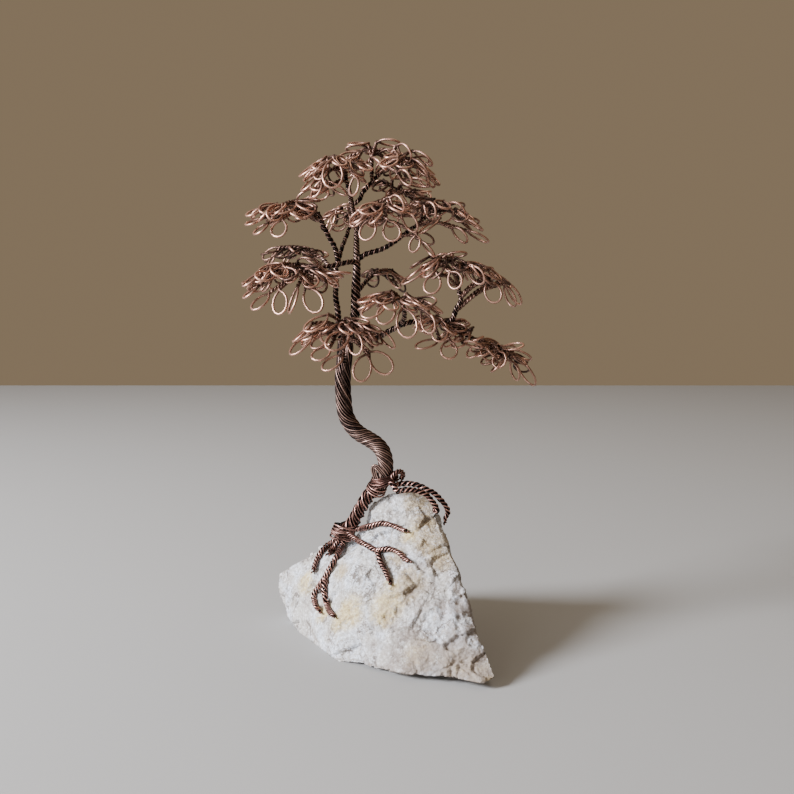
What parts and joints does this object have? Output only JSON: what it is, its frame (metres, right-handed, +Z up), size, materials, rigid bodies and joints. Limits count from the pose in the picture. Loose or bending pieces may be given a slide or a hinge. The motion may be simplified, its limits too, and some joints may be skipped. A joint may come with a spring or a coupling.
{
  "type": "wire tree sculpture",
  "caption": "Small tree twisted from antiqued copper wire, with domed pads of loop leaves on a curved trunk, its roots bound over a craggy white rock.",
  "frame": {"origin": "on the rock's flat underside, straight under the foot of the trunk", "axes": "+Z up along the tree, +X to the right and +Y away as seen from the front"},
  "size_m": [0.076, 0.0615, 0.1292],
  "materials": {
    "copper_wire": "antiqued, satin",
    "white_rock": "rough, granular"
  },
  "bodies": {
    "root": {"rock": "white_rock", "trunk": "copper_wire", "knot_wrap": "copper_wire", "collar_wrap": "copper_wire", "cord_end_left": "copper_wire", "cord_end_right": "copper_wire", "root_right_upper": "copper_wire", "root_right_lower": "copper_wire", "root_front": "copper_wire", "root_left": "copper_wire", "root_stub": "copper_wire", "root_over_upper": "copper_wire", "root_over_lower": "copper_wire", "leader": "copper_wire", "left_limb": "copper_wire", "lower_right": "copper_wire", "front_left": "copper_wire", "front_right": "copper_wire", "middle_left": "copper_wire", "back_left": "copper_wire", "back_centre": "copper_wire", "arch": "copper_wire", "upper_tail": "copper_wire", "upper_centre": "copper_wire", "upper_left": "copper_wire", "upper_back": "copper_wire", "crown_left": "copper_wire", "crown_right": "copper_wire", "crown_top": "copper_wire", "upper_right": "copper_wire"}
  },
  "joints": []
}
